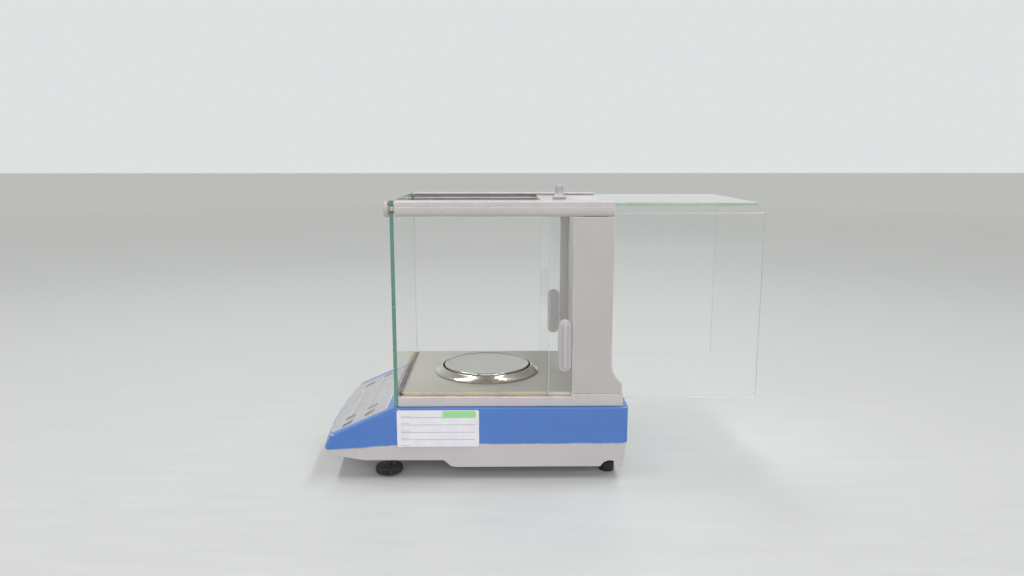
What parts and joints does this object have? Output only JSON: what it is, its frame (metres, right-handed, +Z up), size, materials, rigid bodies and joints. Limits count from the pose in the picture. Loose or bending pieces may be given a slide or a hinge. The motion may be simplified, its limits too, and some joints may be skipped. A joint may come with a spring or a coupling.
{
  "type": "analytical balance",
  "caption": "Laboratory balance with a sloping keypad, a round pan in a draft ring, and a glass draft shield whose side and top doors slide back.",
  "frame": {"origin": "on the bench under the middle of the footprint, doors slid back", "axes": "+X to the balance's right as its user sees it, +Y from the keypad to the rear, +Z up"},
  "size_m": [0.2072, 0.4766, 0.3178],
  "materials": {
    "blue_plastic": "fine moulded texture",
    "grey_plastic": "fine moulded texture",
    "keypad_film": "printed matt film",
    "key_film": "printed matt film with dark edge bars",
    "display_plastic": "clear light grey window",
    "lcd": "grey-green display",
    "frame_moulding": "smooth satin moulding",
    "frame_paint": "smooth satin paint",
    "floor_paint": "semi-gloss paint",
    "polished_steel": "polished stainless steel",
    "cast_aluminium": "machined",
    "rail_paint": "satin painted aluminium section",
    "clear_glass": "clear float glass with green edges",
    "handle_plastic": "satin light grey",
    "knob_plastic": "satin light grey",
    "bush_elastomer": "translucent, yellowed",
    "foot_plastic": "black, knurled rim",
    "foot_rubber": "black rubber",
    "circuit_board": "green solder mask",
    "copper_wire": "enamelled copper winding",
    "magnet_iron": "nickel-plated iron",
    "screw_steel": "zinc-plated",
    "socket_plastic": "black moulding",
    "socket_shell": "nickel-plated shell",
    "label_paper": "white paper sticker with a green corner patch",
    "vial_fluid": "yellow-green spirit vial"
  },
  "bodies": {
    "base": {"upper_housing": "blue_plastic", "lower_housing": "grey_plastic", "keypad_panel": "keypad_film", "display_window": "display_plastic", "lcd_module": "lcd", "shield_base": "frame_moulding", "right_pillar": "frame_paint", "left_pillar": "frame_paint", "rear_wall": "frame_paint", "floor_plate": "floor_paint", "hook_cover_pin": "polished_steel", "cell_frame": "cast_aluminium", "upper_guide": "cast_aluminium", "lower_guide": "cast_aluminium", "right_rail": "rail_paint", "left_rail": "rail_paint", "cross_bar": "rail_paint", "front_glass": "clear_glass", "right_glass_bush": "bush_elastomer", "left_glass_bush": "bush_elastomer", "level_holder": "foot_plastic", "right_rear_foot": "foot_rubber", "left_rear_foot": "foot_rubber", "display_board": "circuit_board", "main_board": "circuit_board", "position_sensor": "circuit_board", "magnet_pot": "magnet_iron", "right_housing_screw_1": "screw_steel", "right_housing_screw_2": "screw_steel", "left_housing_screw_1": "screw_steel", "left_housing_screw_2": "screw_steel", "dc_inlet": "socket_plastic", "serial_connector": "socket_shell", "service_label": "label_paper", "level_vial": "vial_fluid"},
    "right_door": {"right_door_glass": "clear_glass", "right_door_handle": "handle_plastic"},
    "left_door": {"left_door_glass": "clear_glass", "left_door_handle": "handle_plastic"},
    "top_door": {"top_door_glass": "clear_glass", "top_door_handle": "handle_plastic"},
    "draft_ring": {"draft_ring": "polished_steel"},
    "hanger": {"hanger": "cast_aluminium"},
    "pan_support": {"pan_support": "cast_aluminium"},
    "weighing_pan": {"weighing_pan": "polished_steel"},
    "lever": {"lever": "cast_aluminium", "coil": "copper_wire"},
    "key_print": {"key_print": "key_film"},
    "key_tare": {"key_tare": "key_film"},
    "key_menu": {"key_menu": "key_film"},
    "key_power": {"key_power": "key_film"},
    "right_foot": {"right_foot_pad": "foot_rubber"},
    "right_foot_wheel": {"right_foot_screw": "foot_plastic"},
    "left_foot": {"left_foot_pad": "foot_rubber"},
    "left_foot_wheel": {"left_foot_screw": "foot_plastic"},
    "right_knob": {"right_knob": "knob_plastic"},
    "left_knob": {"left_knob": "knob_plastic"},
    "hook_cover": {"hook_cover": "grey_plastic"}
  },
  "joints": [
    {"name": "right_door_slide", "type": "slide", "parent": "base", "child": "right_door", "axis": [0, -1, 0], "range_m": [0, 0.1619]},
    {"name": "left_door_slide", "type": "slide", "parent": "base", "child": "left_door", "axis": [0, -1, 0], "range_m": [0, 0.1619]},
    {"name": "top_door_slide", "type": "slide", "parent": "base", "child": "top_door", "axis": [0, -1, 0], "range_m": [0, 0.1549]},
    {"name": "draft_ring_lift", "type": "slide", "parent": "base", "child": "draft_ring", "axis": [0, 0, 1], "range_m": [0, 0.03]},
    {"name": "hanger_travel", "type": "slide", "parent": "base", "child": "hanger", "axis": [0, 0, 1], "range_m": [-0.0002, 0], "stiffness_N_per_m": 5000, "springref_m": 0.0008},
    {"name": "pan_support_lift", "type": "slide", "parent": "hanger", "child": "pan_support", "axis": [0, 0, 1], "range_m": [0, 0.03]},
    {"name": "pan_lift", "type": "slide", "parent": "pan_support", "child": "weighing_pan", "axis": [0, 0, 1], "range_m": [0, 0.06]},
    {"name": "lever_tilt", "type": "hinge", "parent": "base", "child": "lever", "pos_m": [0, -0.0293, 0.054], "axis": [1, 0, 0], "range_deg": [0, 0.65]},
    {"name": "key_print_press", "type": "slide", "parent": "base", "child": "key_print", "axis": [0, 0.402, -0.9157], "range_m": [0, 0.0005], "stiffness_N_per_m": 1000},
    {"name": "key_tare_press", "type": "slide", "parent": "base", "child": "key_tare", "axis": [0, 0.402, -0.9157], "range_m": [0, 0.0005], "stiffness_N_per_m": 1000},
    {"name": "key_menu_press", "type": "slide", "parent": "base", "child": "key_menu", "axis": [0, 0.402, -0.9157], "range_m": [0, 0.0005], "stiffness_N_per_m": 1000},
    {"name": "key_power_press", "type": "slide", "parent": "base", "child": "key_power", "axis": [0, 0.402, -0.9157], "range_m": [0, 0.0005], "stiffness_N_per_m": 1000},
    {"name": "right_foot_travel", "type": "slide", "parent": "base", "child": "right_foot", "axis": [0, 0, 1], "range_m": [-0.003, 0.003]},
    {"name": "right_foot_turn", "type": "hinge", "parent": "right_foot", "child": "right_foot_wheel", "pos_m": [0.08, -0.1649, 0.005], "axis": [0, 0, 1], "range_deg": [-860, 860]},
    {"name": "left_foot_travel", "type": "slide", "parent": "base", "child": "left_foot", "axis": [0, 0, 1], "range_m": [-0.003, 0.003]},
    {"name": "left_foot_turn", "type": "hinge", "parent": "left_foot", "child": "left_foot_wheel", "pos_m": [-0.08, -0.1649, 0.005], "axis": [0, 0, 1], "range_deg": [-860, 860]},
    {"name": "right_knob_turn", "type": "hinge", "parent": "base", "child": "right_knob", "pos_m": [0.0946, -0.1583, 0.2963], "axis": [0, -1, 0], "range_deg": [0, 720]},
    {"name": "left_knob_turn", "type": "hinge", "parent": "base", "child": "left_knob", "pos_m": [-0.0946, -0.1583, 0.2963], "axis": [0, -1, 0], "range_deg": [0, 720]},
    {"name": "hook_cover_swivel", "type": "hinge", "parent": "base", "child": "hook_cover", "pos_m": [0.017, -0.0566, 0.0132], "axis": [0, 0, 1], "range_deg": [0, 90]}
  ],
  "couplings": [
    {"joint": "lever_tilt", "follows": "hanger_travel", "rad_per_m": -55.56},
    {"joint": "right_foot_travel", "follows": "right_foot_turn", "m_per_rad": 0.000199},
    {"joint": "left_foot_travel", "follows": "left_foot_turn", "m_per_rad": 0.000199}
  ]
}
